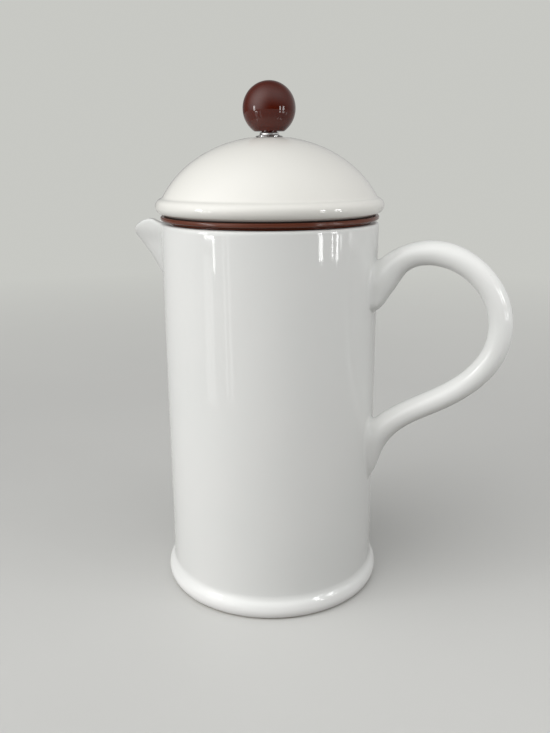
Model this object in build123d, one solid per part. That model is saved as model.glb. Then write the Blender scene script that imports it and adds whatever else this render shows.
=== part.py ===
from build123d import *
import math
import os

# Chocolate pot: a tall ceramic pot with a beaked spout, a looped handle, a domed lift-off lid and a
# frothing plunger. Millimetres, +Z up. The origin is the centre of the foot, on the table.
# The spout points along -X and the handle along +X, so XZ is the pot's plane of symmetry.

# ---- Pot ----
BODY_R = 52.0
WALL = 5.0
BORE_R = BODY_R - WALL
RIM_Z = 182.8
RIM_ROUNDING = 1.8
FLOOR_Z = 9.0
FLOOR_ROUNDING = 9.0
FOOT_BEAD_R = 49.3
FOOT_BEAD_TUBE = 5.8
FOOT_BEAD_Z = 4.0
FOOT_BLEND = 2.5
FOOT_RING_INNER_R = 45.5
FOOT_RECESS = 2.5
FOOT_RECESS_ROUNDING = 1.0

# ---- Spout: level sections, each a circle drawn out into a beak ----
# (height, reach of the beak beyond the body, half the angle that the beak spans)
BEAK_SECTIONS = [
    (140.0, 0.0, 16.0),
    (147.0, 2.0, 18.0),
    (154.0, 5.8, 22.0),
    (161.0, 10.4, 26.0),
    (168.0, 15.2, 30.0),
    (174.0, 19.6, 33.0),
    (178.0, 22.0, 35.0),
    (186.0, 25.4, 36.0),
]
BEAK_SHARPNESS = 3
BEAK_POINTS = 14
BEAK_SPAN = 40.0
CHANNEL_NARROWER = 4.0
CHANNEL_DEEPER = -0.2
NOSE_R = 8.0
NOSE_TIP_X = -74.6
SPOUT_SEAM = 1.0

# ---- Handle: oval sections along its centreline in the XZ plane ----
# (distance from the axis, height, half the thickness, half the width)
HANDLE_SECTIONS = [
    (51.6, 144.6, 3.2, 4.4),
    (53.4, 149.8, 5.3, 6.2),
    (56.2, 157.2, 6.9, 6.9),
    (64.9, 167.1, 5.9, 6.3),
    (80.8, 170.7, 5.7, 6.0),
    (97.4, 163.9, 5.5, 5.9),
    (108.6, 148.4, 5.4, 5.9),
    (109.0, 129.4, 5.4, 5.9),
    (97.5, 112.2, 5.4, 5.9),
    (80.4, 100.4, 5.5, 5.9),
    (64.0, 90.1, 5.8, 6.2),
    (55.6, 80.4, 6.0, 6.4),
    (53.1, 70.5, 4.4, 4.9),
    (51.9, 62.2, 2.6, 2.8),
]
HANDLE_TOP_TIP = (50.4, 141.6)
HANDLE_BOTTOM_TIP = (50.6, 56.4)

# ---- Lid: ceramic dome ----
DOME_HALF_WIDTH = 56.0
DOME_HALF_HEIGHT = 47.1
DOME_CENTRE_Z = 174.95
DOME_WALL = 4.5
DOME_CROWN_Z = 221.3
DOME_CROWN_UNDER_Z = 216.2
DOME_BASE_Z = 186.55
DOME_BEAD_R = 50.6
DOME_BEAD_TUBE = 3.7
DOME_BEAD_Z = 190.6
DOME_VALLEY = 2.5
DOME_RIM_INNER_R = 44.6
DOME_HOLE_R = 5.3

# ---- Lid: moulded insert ----
FLANGE_R = 52.0
FLANGE_TOP_Z = 186.05
FLANGE_TOP_ROUNDING = 0.5
FLANGE_BOTTOM_Z = 183.5
FLANGE_BOTTOM_ROUNDING = 1.2
SEAT_R = 49.9
SKIRT_R = 46.4
SKIRT_INNER_R = 43.4
SKIRT_BOTTOM_Z = 170.8
ROOF_UNDER_Z = 183.8
STEP_R = 44.2
STEP_INNER_R = 42.2
STEP_TOP_Z = 189.0
SHANK_HOLE_R = 5.1
TOWER_BASE_R = 15.5
TOWER_TOP_R = 11.4
TOWER_WALL = 2.4
TOWER_CEILING = 2.6

# ---- Soft rings of the lid ----
GROOVE_R = 45.1
GROOVE_BOTTOM_Z = 174.6
GROOVE_TOP_Z = 177.4
SEAL_OUTER_R = 46.9
RING_PLAY = 0.05
CUSHION_R = 50.3
CUSHION_INNER_R = 45.0

# ---- Guide collar, its washers and nut ----
COLLAR_R = 6.5
COLLAR_TOP_R = 4.4
COLLAR_EDGE = 0.8
COLLAR_TOP_Z = 223.6
COLLAR_SHANK_R = 5.0
COLLAR_BORE_R = 3.35
COLLAR_SOCKET_R = 3.75
COLLAR_SOCKET_DEPTH = 0.7
SHANK_END_Z = 206.0
SOFT_WASHER_R = 6.1
SOFT_WASHER_T = 0.4
NUT_WASHER_R = 8.2
NUT_WASHER_T = 1.0
COLLAR_NUT_AF = 14.0
COLLAR_NUT_T = 4.0

# ---- Guide liner ----
LINER_R = 3.3
LINER_BORE_R = 2.45
LINER_LIP_R = 3.7
LINER_LIP_T = 0.6
LINER_FLANGE_R = 4.6
LINER_FLANGE_T = 1.2

# ---- Plunger: knob and rod ----
ROD_R = 2.4
BALL_R = 12.05
BALL_Z = 234.5
BALL_FLAT_Z = 224.4
NECK_R = 3.65
KNOB_INSERT_R = 3.2
KNOB_INSERT_TOP_Z = 238.0
KNOB_INSERT_GROOVE = 0.5
KNOB_INSERT_GROOVE_W = 2.0
ROD_TOP_Z = 236.0
ROD_BEVEL = 0.4

# ---- Plunger: frothing disc and its fasteners ----
DISC_R = 42.5
DISC_RING_W = 2.0
DISC_BOTTOM_Z = 20.0
DISC_HEIGHT = 7.0
MID_RING_R = 25.0
MID_RING_W = 1.6
HUB_R = 7.0
HUB_TOP_Z = 29.0
HUB_BOTTOM_Z = 19.0
BLADES = 8
BLADE_T = 1.4
BLADE_CHORD_HUB = 5.4
BLADE_CHORD_RIM = 13.0
BLADE_PITCH_HUB = 58.0
BLADE_PITCH_RIM = 24.0
BLADE_SWEEP = 24.0
DISC_WASHER_R = 5.5
DISC_WASHER_T = 0.8
DISC_NUT_AF = 8.0
DISC_NUT_T = 4.0
CAP_NUT_AF = 8.0
CAP_NUT_HEX_T = 3.8
CAP_NUT_DOME_R = 3.6
CAP_NUT_DOME_H = 3.0
ROD_BOTTOM_Z = 15.2


def turned(corners):
    """Solid of revolution about the pot's axis from (radius, height, corner rounding) corners."""
    points = [(radius, height) for radius, height, _ in corners]
    roundings = [rounding for _, _, rounding in corners]
    outline = FilletPolyline(*points, radius=roundings, close=True)
    return revolve(Plane.XZ * make_face(outline), Axis.Z, 360)


def washer(inner_r, outer_r, bottom_z, thickness):
    """Flat ring about the pot's axis."""
    ring = Circle(outer_r) - Circle(inner_r)
    return extrude(Pos(0, 0, bottom_z) * ring, thickness)


def hex_nut(across_flats, bore_r, bottom_z, height):
    """Hexagonal nut with both ends chamfered, about the pot's axis."""
    corner_r = across_flats / math.sqrt(3)
    prism = extrude(Pos(0, 0, bottom_z) * RegularPolygon(corner_r, 6), height)
    bevel = corner_r - across_flats / 2
    envelope = Pos(0, 0, bottom_z + height / 2) * Cylinder(corner_r, height)
    envelope = chamfer(envelope.edges().filter_by(GeomType.CIRCLE), 0.5 * bevel, bevel)
    bore = Pos(0, 0, bottom_z + height / 2) * Cylinder(bore_r, 2 * height)
    return (prism & envelope) - bore


# ---- Pot ----


def beak_point(radius, height, reach, half_angle, angle):
    """Point of a level section whose circle is drawn out into a beak about the -X direction."""
    turn = min(abs(angle) / half_angle, 1)
    swell = math.cos(math.radians(90 * turn)) ** BEAK_SHARPNESS
    distance = radius + reach * swell
    bearing = math.radians(180 + angle)
    return (distance * math.cos(bearing), distance * math.sin(bearing), height)


def beak_section(radius, height, reach, half_angle):
    """Level section: the beak as one smooth curve, closed by the rest of the circle."""
    step = 2 * BEAK_SPAN / BEAK_POINTS
    angles = [-BEAK_SPAN + step * i for i in range(BEAK_POINTS + 1)]
    points = [beak_point(radius, height, reach, half_angle, angle) for angle in angles]
    if reach > 0:
        start, end = (math.radians(180 + angle) for angle in (-BEAK_SPAN, BEAK_SPAN))
        tangents = [(-math.sin(start), math.cos(start), 0), (-math.sin(end), math.cos(end), 0)]
        front = Spline(*points, tangents=tangents)
    else:
        front = ThreePointArc(points[0], (-radius, 0, height), points[-1])
    back = ThreePointArc(points[-1], (radius, 0, height), points[0])
    return Face(Wire([front, back]))


def spout_zone():
    """The upper body with its hollow spout: one loft inside another, the lip's nose rounded."""
    root_z = BEAK_SECTIONS[0][0]
    outside = loft([beak_section(BODY_R, height, reach, half) for height, reach, half in BEAK_SECTIONS])
    channel = [
        (height, max(reach + CHANNEL_DEEPER, 0), half - CHANNEL_NARROWER)
        for height, reach, half in BEAK_SECTIONS
    ]
    inside = loft([beak_section(BORE_R, height, reach, half) for height, reach, half in channel])
    nose_x = NOSE_TIP_X + NOSE_R
    side = [
        Line((BODY_R, root_z - WALL), (BODY_R, RIM_Z)),
        Line((BODY_R, RIM_Z), (nose_x, RIM_Z)),
        RadiusArc((nose_x, RIM_Z), (NOSE_TIP_X, RIM_Z - NOSE_R), -NOSE_R),
        Line((NOSE_TIP_X, RIM_Z - NOSE_R), (NOSE_TIP_X, root_z - WALL)),
        Line((NOSE_TIP_X, root_z - WALL), (BODY_R, root_z - WALL)),
    ]
    return (outside & extrude(Plane.XZ * make_face(side), BODY_R, both=True)) - inside


def foot_profile():
    """Half section of the straight body down to its foot: bead, blend, foot ring and recess."""
    root_z = BEAK_SECTIONS[0][0]
    wall = Pos(BODY_R / 2, root_z / 2) * Rectangle(BODY_R, root_z)
    bead = Pos(FOOT_BEAD_R, FOOT_BEAD_Z) * Circle(FOOT_BEAD_TUBE)
    ground = Pos(BODY_R, -FOOT_BEAD_TUBE) * Rectangle(4 * BODY_R, 2 * FOOT_BEAD_TUBE)
    profile = wall + (bead - ground)
    notch = profile.vertices().sort_by_distance((BODY_R, FOOT_BEAD_Z + FOOT_BEAD_TUBE, 0))[0]
    profile = fillet(notch, FOOT_BLEND)
    recess = FilletPolyline(
        (0, -1), (FOOT_RING_INNER_R, -1), (FOOT_RING_INNER_R, FOOT_RECESS), (0, FOOT_RECESS),
        radius=[0, 0, FOOT_RECESS_ROUNDING, 0], close=True,
    )
    return profile - make_face(recess)


def body_core(radius):
    """Upright cylinder about the pot's axis, well beyond the pot at both ends."""
    return Pos(0, 0, RIM_Z / 2) * Cylinder(radius, 2 * RIM_Z)


def body_and_spout():
    """The body, from its foot to the rim, and the spout that is joined to it around a notch.

    The spout starts SPOUT_SEAM outside the body's wall, where its flanks stand clear of it.
    """
    root_z = BEAK_SECTIONS[0][0]
    upper = spout_zone()
    lip_z = RIM_Z - NOSE_R - RIM_ROUNDING
    lip_edges = upper.edges().filter_by(lambda edge: edge.bounding_box().min.Z > lip_z)
    upper = fillet(lip_edges, RIM_ROUNDING)
    bore = turned([
        (0, FLOOR_Z, 0),
        (BORE_R, FLOOR_Z, FLOOR_ROUNDING),
        (BORE_R, root_z + WALL, 0),
        (0, root_z + WALL, 0),
    ])
    lower = revolve(Plane.XZ * foot_profile(), Axis.Z, 360) - bore
    core = body_core(BODY_R + SPOUT_SEAM)
    return lower + (upper & core), upper - core


def handle():
    """The handle: one loft of ovals set square to a smooth centreline, both ends drawn to a tip.

    The tips lie inside the body's wall, so the loft is cut off at its surface.
    """
    points = [(radius, 0, height) for radius, height, _, _ in HANDLE_SECTIONS]
    centreline = Spline(*points)
    ovals = []
    for point, (_, _, half_thickness, half_width) in zip(points, HANDLE_SECTIONS):
        direction = centreline % centreline.param_at_point(point)
        square = Plane(origin=point, x_dir=(0, 1, 0), z_dir=direction)
        ovals.append(square * Ellipse(half_width, half_thickness))
    top_tip = Vertex(HANDLE_TOP_TIP[0], 0, HANDLE_TOP_TIP[1])
    bottom_tip = Vertex(HANDLE_BOTTOM_TIP[0], 0, HANDLE_BOTTOM_TIP[1])
    return loft([top_tip, *ovals, bottom_tip]) - body_core(BODY_R)


# ---- Lid ----


def lid_dome():
    """Ceramic dome: half an oval in section with a flat crown, running out into a rolled bead."""
    crown_h = DOME_CROWN_Z - DOME_BASE_Z
    middle_z = DOME_BASE_Z + crown_h / 2
    band = Pos(DOME_HALF_WIDTH / 2, middle_z) * Rectangle(DOME_HALF_WIDTH, crown_h)
    above_bead = Pos(DOME_HALF_WIDTH / 2, DOME_CROWN_Z) * Rectangle(
        DOME_HALF_WIDTH, 2 * (DOME_CROWN_Z - DOME_BEAD_Z)
    )
    oval = Pos(0, DOME_CENTRE_Z) * Ellipse(DOME_HALF_WIDTH, DOME_HALF_HEIGHT)
    cap = oval & band & above_bead
    bead = Pos(DOME_BEAD_R, DOME_BEAD_Z) * Circle(DOME_BEAD_TUBE)
    rim = Pos(DOME_BEAD_R / 2, (DOME_BASE_Z + DOME_BEAD_Z) / 2) * Rectangle(
        DOME_BEAD_R, DOME_BEAD_Z - DOME_BASE_Z
    )
    profile = cap + bead + rim
    profile = profile & band
    notch = profile.vertices().sort_by_distance((DOME_BEAD_R, DOME_BEAD_Z + DOME_BEAD_TUBE, 0))[0]
    profile = fillet(notch, DOME_VALLEY)
    hollow_h = DOME_CROWN_UNDER_Z - DOME_BASE_Z
    hollow_band = Pos(DOME_RIM_INNER_R / 2, DOME_BASE_Z + hollow_h / 2) * Rectangle(DOME_RIM_INNER_R, hollow_h)
    inner_oval = Ellipse(DOME_HALF_WIDTH - DOME_WALL, DOME_HALF_HEIGHT - DOME_WALL)
    hollow = Pos(0, DOME_CENTRE_Z) * inner_oval & hollow_band
    hole = Pos(DOME_HOLE_R / 2, DOME_CROWN_Z) * Rectangle(DOME_HOLE_R, 4 * DOME_WALL)
    return revolve(Plane.XZ * (profile - hollow - hole), Axis.Z, 360)


def lid_insert():
    """Moulded insert: flange, seat, skirt with its ring groove, roof and central tower."""
    ceiling_z = DOME_CROWN_UNDER_Z - TOWER_CEILING
    return turned([
        (SHANK_HOLE_R, DOME_CROWN_UNDER_Z, 0),
        (TOWER_TOP_R, DOME_CROWN_UNDER_Z, 1.2),
        (TOWER_BASE_R, FLANGE_TOP_Z, 2.0),
        (STEP_INNER_R, FLANGE_TOP_Z, 0.6),
        (STEP_INNER_R, STEP_TOP_Z, 0.6),
        (STEP_R, STEP_TOP_Z, 0.6),
        (STEP_R, FLANGE_TOP_Z, 0),
        (FLANGE_R, FLANGE_TOP_Z, FLANGE_TOP_ROUNDING),
        (FLANGE_R, FLANGE_BOTTOM_Z, FLANGE_BOTTOM_ROUNDING),
        (SEAT_R, FLANGE_BOTTOM_Z, 0),
        (SEAT_R, RIM_Z, 0.3),
        (SKIRT_R, RIM_Z, 0),
        (SKIRT_R, GROOVE_TOP_Z, 0),
        (GROOVE_R, GROOVE_TOP_Z, 0),
        (GROOVE_R, GROOVE_BOTTOM_Z, 0),
        (SKIRT_R, GROOVE_BOTTOM_Z, 0),
        (SKIRT_R, SKIRT_BOTTOM_Z, 1.2),
        (SKIRT_INNER_R, SKIRT_BOTTOM_Z, 1.2),
        (SKIRT_INNER_R, ROOF_UNDER_Z, 2.0),
        (TOWER_BASE_R - TOWER_WALL, ROOF_UNDER_Z, 1.0),
        (TOWER_TOP_R - TOWER_WALL, ceiling_z, 1.0),
        (SHANK_HOLE_R, ceiling_z, 0),
    ])


def dome_cushion():
    """Soft ring between the flange and the dome's rim."""
    return washer(CUSHION_INNER_R, CUSHION_R, FLANGE_TOP_Z, DOME_BASE_Z - FLANGE_TOP_Z)


def seal_ring():
    """Soft ring in the skirt's groove, its outer face crowned against the bore."""
    bottom_z = GROOVE_BOTTOM_Z + RING_PLAY
    top_z = GROOVE_TOP_Z - RING_PLAY
    inner_r = GROOVE_R + RING_PLAY
    crown = (top_z - bottom_z) / 4
    return turned([
        (inner_r, bottom_z, 0),
        (SEAL_OUTER_R, bottom_z, crown),
        (SEAL_OUTER_R, top_z, crown),
        (inner_r, top_z, 0),
    ])


def guide_collar():
    """Turned collar: a bevelled head on the crown, a threaded shank and a through bore."""
    head_bottom_z = DOME_CROWN_Z + SOFT_WASHER_T
    return turned([
        (COLLAR_BORE_R, SHANK_END_Z, 0),
        (COLLAR_SHANK_R, SHANK_END_Z, 0.5),
        (COLLAR_SHANK_R, head_bottom_z, 0),
        (COLLAR_R, head_bottom_z, 0.2),
        (COLLAR_R, head_bottom_z + COLLAR_EDGE, 0.2),
        (COLLAR_TOP_R, COLLAR_TOP_Z, 0.2),
        (COLLAR_SOCKET_R, COLLAR_TOP_Z, 0),
        (COLLAR_SOCKET_R, COLLAR_TOP_Z - COLLAR_SOCKET_DEPTH, 0),
        (COLLAR_BORE_R, COLLAR_TOP_Z - COLLAR_SOCKET_DEPTH, 0),
    ])


def collar_washer():
    """Soft washer that keeps the collar's head off the glaze."""
    return washer(COLLAR_SHANK_R, SOFT_WASHER_R, DOME_CROWN_Z, SOFT_WASHER_T)


def nut_washer():
    """Washer under the collar's nut, against the ceiling of the insert's tower."""
    ceiling_z = DOME_CROWN_UNDER_Z - TOWER_CEILING
    return washer(COLLAR_SHANK_R, NUT_WASHER_R, ceiling_z - NUT_WASHER_T, NUT_WASHER_T)


def collar_nut():
    """Thin nut that clamps the dome and the insert together from inside the tower."""
    washer_z = DOME_CROWN_UNDER_Z - TOWER_CEILING - NUT_WASHER_T
    return hex_nut(COLLAR_NUT_AF, COLLAR_SHANK_R, washer_z - COLLAR_NUT_T, COLLAR_NUT_T)


def guide_liner():
    """Plastic bush snapped into the collar: lip above, flange below, free to turn."""
    top_z = COLLAR_TOP_Z
    flange_top_z = SHANK_END_Z - RING_PLAY
    lip_z = top_z - LINER_LIP_T
    return turned([
        (LINER_BORE_R, flange_top_z - LINER_FLANGE_T, 0),
        (LINER_FLANGE_R, flange_top_z - LINER_FLANGE_T, 0.3),
        (LINER_FLANGE_R, flange_top_z, 0),
        (LINER_R, flange_top_z, 0),
        (LINER_R, lip_z, 0),
        (LINER_LIP_R, lip_z, 0),
        (LINER_LIP_R, top_z, 0.2),
        (LINER_BORE_R, top_z, 0),
    ])


# ---- Plunger ----


def knob_insert():
    """Threaded brass insert, blind at the top, with a waist that keys it into the knob."""
    waist_r = KNOB_INSERT_R - KNOB_INSERT_GROOVE
    middle_z = (COLLAR_TOP_Z + KNOB_INSERT_TOP_Z) / 2
    half_w = KNOB_INSERT_GROOVE_W / 2
    slope = KNOB_INSERT_GROOVE
    return turned([
        (0, ROD_TOP_Z, 0),
        (ROD_R, ROD_TOP_Z, 0),
        (ROD_R, BALL_FLAT_Z, 0),
        (KNOB_INSERT_R, BALL_FLAT_Z, 0),
        (KNOB_INSERT_R, middle_z - half_w, 0),
        (waist_r, middle_z - half_w + slope, 0),
        (waist_r, middle_z + half_w - slope, 0),
        (KNOB_INSERT_R, middle_z + half_w, 0),
        (KNOB_INSERT_R, KNOB_INSERT_TOP_Z, 0),
        (0, KNOB_INSERT_TOP_Z, 0),
    ])


def knob_ball(insert):
    """Ball knob with a flat underside and a short neck that comes down on the guide."""
    ball = Pos(0, 0, BALL_Z) * Sphere(BALL_R)
    flat_depth = BALL_FLAT_Z - (BALL_Z - BALL_R)
    below_flat = Pos(0, 0, BALL_FLAT_Z - flat_depth / 2) * Cylinder(BALL_R, flat_depth)
    neck_h = BALL_FLAT_Z - COLLAR_TOP_Z
    neck = Pos(0, 0, COLLAR_TOP_Z + neck_h / 2) * Cylinder(NECK_R, neck_h)
    rod_hole = Pos(0, 0, COLLAR_TOP_Z + neck_h / 2) * Cylinder(ROD_R, neck_h)
    socket_h = KNOB_INSERT_TOP_Z - BALL_FLAT_Z
    socket = Pos(0, 0, BALL_FLAT_Z + socket_h / 2) * Cylinder(KNOB_INSERT_R, socket_h)
    keyed = socket - insert - Pos(0, 0, BALL_FLAT_Z + socket_h / 2) * Cylinder(ROD_R, socket_h)
    return ball - below_flat + neck - rod_hole - socket + keyed


def plunger_rod():
    """Straight rod, bevelled at its lower end, plain where the real one is threaded."""
    return turned([
        (0, ROD_BOTTOM_Z, 0),
        (ROD_R - ROD_BEVEL, ROD_BOTTOM_Z, 0),
        (ROD_R, ROD_BOTTOM_Z + ROD_BEVEL, 0),
        (ROD_R, ROD_TOP_Z, 0),
        (0, ROD_TOP_Z, 0),
    ])


def blade():
    """One blade of the frothing disc: pitched steeply at the hub, flatter and broader at the rim."""
    middle_z = DISC_BOTTOM_Z + DISC_HEIGHT / 2
    inner_r = HUB_R - 1.5
    outer_r = DISC_R - DISC_RING_W / 2
    sections = []
    for share in (0, 0.35, 0.7, 1):
        radius = inner_r + (outer_r - inner_r) * share
        pitch = BLADE_PITCH_HUB + (BLADE_PITCH_RIM - BLADE_PITCH_HUB) * share
        chord = BLADE_CHORD_HUB + (BLADE_CHORD_RIM - BLADE_CHORD_HUB) * share
        bearing = math.radians(BLADE_SWEEP * share**2)
        outward = Vector(math.cos(bearing), math.sin(bearing), 0)
        around = Vector(-math.sin(bearing), math.cos(bearing), 0)
        along = around * math.cos(math.radians(pitch)) + Vector(0, 0, math.sin(math.radians(pitch)))
        place = Plane(origin=outward * radius + Vector(0, 0, middle_z), x_dir=along, z_dir=outward)
        sections.append(place * Rectangle(chord, BLADE_T))
    return loft(sections)


def froth_disc():
    """Moulded disc: hub, swept and pitched blades, stiffening ring and outer ring."""
    middle_z = DISC_BOTTOM_Z + DISC_HEIGHT / 2
    blades = [Rot(0, 0, 360 / BLADES * i) * blade() for i in range(BLADES)]
    inside_rim = Pos(0, 0, middle_z) * Cylinder(DISC_R - DISC_RING_W / 2, DISC_HEIGHT)
    fan = blades[0].fuse(*blades[1:]) & inside_rim
    hub_h = HUB_TOP_Z - HUB_BOTTOM_Z
    hub = Pos(0, 0, HUB_BOTTOM_Z + hub_h / 2) * Cylinder(HUB_R, hub_h)
    hub = fillet(hub.edges().filter_by(GeomType.CIRCLE), 1.0)
    rim = turned([
        (DISC_R - DISC_RING_W, DISC_BOTTOM_Z, 0.5),
        (DISC_R, DISC_BOTTOM_Z, 0.8),
        (DISC_R, DISC_BOTTOM_Z + DISC_HEIGHT, 0.8),
        (DISC_R - DISC_RING_W, DISC_BOTTOM_Z + DISC_HEIGHT, 0.5),
    ])
    mid_ring = washer(MID_RING_R - MID_RING_W, MID_RING_R, DISC_BOTTOM_Z + 1, DISC_HEIGHT - 2)
    bore = Pos(0, 0, middle_z) * Cylinder(ROD_R, 4 * DISC_HEIGHT)
    return hub + rim + mid_ring + fan - bore


def disc_cap_nut():
    """Domed nut that closes the rod's lower end."""
    hex_bottom_z = HUB_BOTTOM_Z - DISC_WASHER_T - CAP_NUT_HEX_T
    hexagon = hex_nut(CAP_NUT_AF, ROD_R, hex_bottom_z, CAP_NUT_HEX_T)
    dome_face = make_face([
        Line((0, hex_bottom_z), (0, hex_bottom_z - CAP_NUT_DOME_H)),
        ThreePointArc(
            (0, hex_bottom_z - CAP_NUT_DOME_H),
            (0.74 * CAP_NUT_DOME_R, hex_bottom_z - 0.74 * CAP_NUT_DOME_H),
            (CAP_NUT_DOME_R, hex_bottom_z),
        ),
        Line((CAP_NUT_DOME_R, hex_bottom_z), (0, hex_bottom_z)),
    ])
    return hexagon + revolve(Plane.XZ * dome_face, Axis.Z, 360)


def main():
    os.makedirs("parts", exist_ok=True)
    pot, spout = body_and_spout()
    insert = knob_insert()
    parts = {
        "pot": pot,
        "spout": spout,
        "handle": handle(),
        "lid_dome": lid_dome(),
        "lid_insert": lid_insert(),
        "dome_cushion": dome_cushion(),
        "seal_ring": seal_ring(),
        "guide_collar": guide_collar(),
        "collar_washer": collar_washer(),
        "nut_washer": nut_washer(),
        "collar_nut": collar_nut(),
        "guide_liner": guide_liner(),
        "knob_ball": knob_ball(insert),
        "knob_insert": insert,
        "plunger_rod": plunger_rod(),
        "froth_disc": froth_disc(),
        "disc_top_nut": hex_nut(DISC_NUT_AF, ROD_R, HUB_TOP_Z + DISC_WASHER_T, DISC_NUT_T),
        "disc_top_washer": washer(ROD_R, DISC_WASHER_R, HUB_TOP_Z, DISC_WASHER_T),
        "disc_bottom_washer": washer(ROD_R, DISC_WASHER_R, HUB_BOTTOM_Z - DISC_WASHER_T, DISC_WASHER_T),
        "disc_cap_nut": disc_cap_nut(),
    }
    for name, solid in parts.items():
        export_step(solid, f"parts/{name}.step")


main()
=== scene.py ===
import math

import bmesh
import bpy
import numpy as np
from mathutils import Matrix, Vector


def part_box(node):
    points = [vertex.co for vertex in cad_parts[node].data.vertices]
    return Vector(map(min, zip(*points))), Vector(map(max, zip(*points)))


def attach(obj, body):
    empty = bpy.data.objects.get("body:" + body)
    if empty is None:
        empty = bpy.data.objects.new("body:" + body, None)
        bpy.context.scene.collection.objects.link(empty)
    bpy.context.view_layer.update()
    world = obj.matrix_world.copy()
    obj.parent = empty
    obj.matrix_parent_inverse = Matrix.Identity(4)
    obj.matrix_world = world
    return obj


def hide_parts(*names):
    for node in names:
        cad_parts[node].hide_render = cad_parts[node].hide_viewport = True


# Chocolate pot: the glazed pot, its lid and its frothing plunger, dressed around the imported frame.
# Metres, +Z up. The spout points along -X and the handle along +X.

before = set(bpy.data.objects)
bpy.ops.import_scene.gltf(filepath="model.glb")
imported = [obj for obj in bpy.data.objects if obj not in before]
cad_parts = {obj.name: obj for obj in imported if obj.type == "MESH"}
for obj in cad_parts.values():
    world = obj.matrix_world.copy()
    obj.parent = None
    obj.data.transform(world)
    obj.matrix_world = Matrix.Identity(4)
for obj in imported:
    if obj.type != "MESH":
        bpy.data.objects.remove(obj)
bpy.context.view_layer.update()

# ---- Sizes that the pieces share, from the frame ----
BODY_R = 0.052
BORE_R = 0.047
RIM_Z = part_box("pot")[1].z
CROWN_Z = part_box("lid_dome")[1].z
DOME_BASE_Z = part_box("lid_dome")[0].z
FLANGE_TOP_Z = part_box("dome_cushion")[0].z
COLLAR_TOP_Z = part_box("guide_collar")[1].z
SHANK_END_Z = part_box("guide_collar")[0].z
KNOB_TOP_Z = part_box("knob_ball")[1].z
ROD_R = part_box("plunger_rod")[1].x

# ---- Camera: the photograph's place and angle ----
CAMERA_DISTANCE = 0.3668
CAMERA_HEIGHT = 0.2125
CAMERA_BEARING = math.radians(22.0)
CAMERA_PITCH = 0.271813
CAMERA_YAW = 0.0056
CAMERA_ROLL = -0.0055766
PHOTO_LONG_SIDE = 733
FOCAL_PIXELS = 751.08
SENSOR = 36.0

# ---- Room ----
BACKDROP = (0.575, 0.58, 0.55)
FLOOR_RADII = (0.0, 0.1, 0.25, 0.5, 1.0, 2.0, 3.0)
FLOOR_COLUMNS = 96
FLOOR_TONES = ((0.60, 0.60, 0.585), (0.615, 0.615, 0.60))
FLOOR_ROUGHNESS = 0.55
FLOOR_FADE = (0.35, 1.1)
FLOOR_BOUNCE = (0.17, 0.16, 0.15)


# ================================ meshes ================================

LEAST_LENGTH = 1e-12
POINT_WIDTH = 1e-9


def unit_vectors(vectors):
    """The vectors drawn to length one; one without any length stays as it is."""
    return vectors / np.maximum(np.linalg.norm(vectors, axis=-1, keepdims=True), LEAST_LENGTH)


def arc(centre, radius, start, end, steps):
    """Outline corners along an arc in the (radius, height) plane; angles in degrees from outward."""
    corners = []
    for i in range(steps + 1):
        angle = math.radians(start + (end - start) * i / steps)
        corners.append((centre[0] + radius * math.cos(angle), centre[1] + radius * math.sin(angle), 0.0))
    return corners


def along(points, at, distance, step):
    """The point at a distance along a polyline from points[at], walking by step, and the next index."""
    here = points[at]
    index = at + step
    while 0 <= index < len(points):
        leg = points[index] - here
        length = np.linalg.norm(leg)
        if length >= distance:
            return here + leg * distance / length, index
        distance -= length
        here = points[index]
        index += step
    return points[index - step], index


def outline(corners, steps=6):
    """Polyline from (radius, height, rounding) corners, each rounding an arc tangent to both sides."""
    points = np.array([corner[:2] for corner in corners], float)
    made = []
    start = 0
    for at, (_, _, rounding) in enumerate(corners):
        if rounding == 0 or at in (0, len(corners) - 1):
            continue
        before = points[at] - points[at - 1]
        after = points[at + 1] - points[at]
        turn = abs(math.atan2(before[0] * after[1] - before[1] * after[0], before @ after))
        reach = rounding * math.tan(turn / 2)
        first, low = along(points, at, reach, -1)
        last, high = along(points, at, reach, 1)
        made.extend(points[start:low + 1])
        weight = math.cos(turn / 2)
        for i in range(steps + 1):
            t = i / steps
            parts = ((1 - t) ** 2, 2 * t * (1 - t) * weight, t**2)
            made.append((parts[0] * first + parts[1] * points[at] + parts[2] * last) / sum(parts))
        start = high
    made.extend(points[start:])
    return np.array(made)


def tangents(rings, closed, sharp_angle):
    """Direction of travel along the rings before and after each one; the same where the run is smooth."""
    legs = np.roll(rings, -1, axis=0) - rings
    if not closed:
        legs[-1] = legs[-2]
    back = np.roll(legs, 1, axis=0)
    if not closed:
        back[0] = legs[0]
    unit = [unit_vectors(leg) for leg in (back, legs)]
    turn = (unit[0] * unit[1]).sum(2).mean(1)
    smooth = turn > math.cos(math.radians(sharp_angle))
    both = back + legs
    before = np.where(smooth[:, None, None], both, back)
    after = np.where(smooth[:, None, None], both, legs)
    return before, after


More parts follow.
